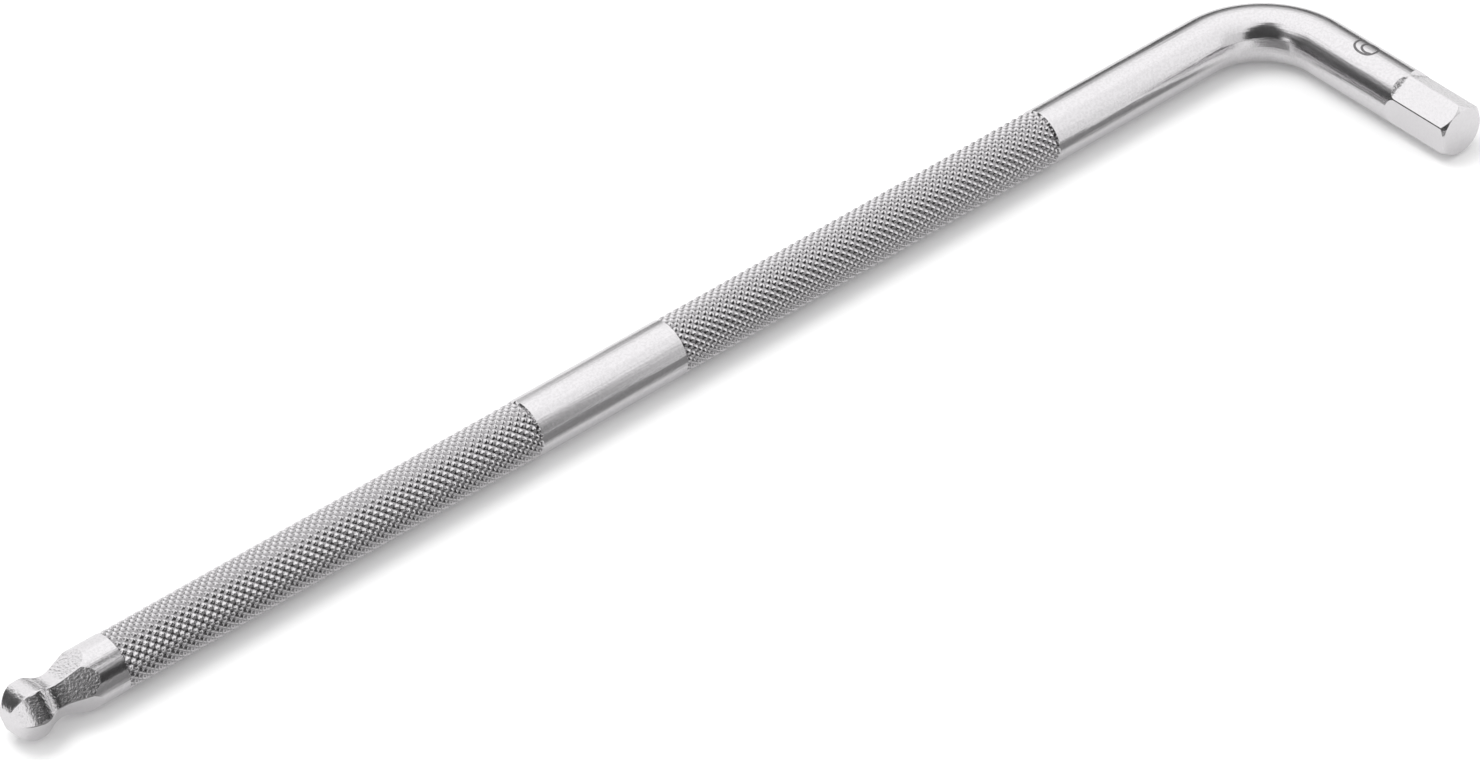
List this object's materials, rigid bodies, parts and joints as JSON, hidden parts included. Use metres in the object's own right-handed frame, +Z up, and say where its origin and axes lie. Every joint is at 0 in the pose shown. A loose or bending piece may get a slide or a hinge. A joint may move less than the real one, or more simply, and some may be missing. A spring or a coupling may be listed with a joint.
{
  "type": "hex key",
  "caption": "Bent hexagon key with a ball end on the long arm, knurled grip bands and a plain hexagon on the short arm.",
  "frame": {"origin": "under the middle of the key's box, on the surface that it lies on", "axes": "+X along the long arm, from the ball end to the bend; -Y along the short arm, from the bend to its tip; +Z up"},
  "size_m": [0.1836, 0.0358, 0.0069],
  "materials": {
    "key_steel": "satin chrome plate on hardened steel"
  },
  "bodies": {
    "root": {"hex_key": "key_steel"}
  },
  "joints": []
}
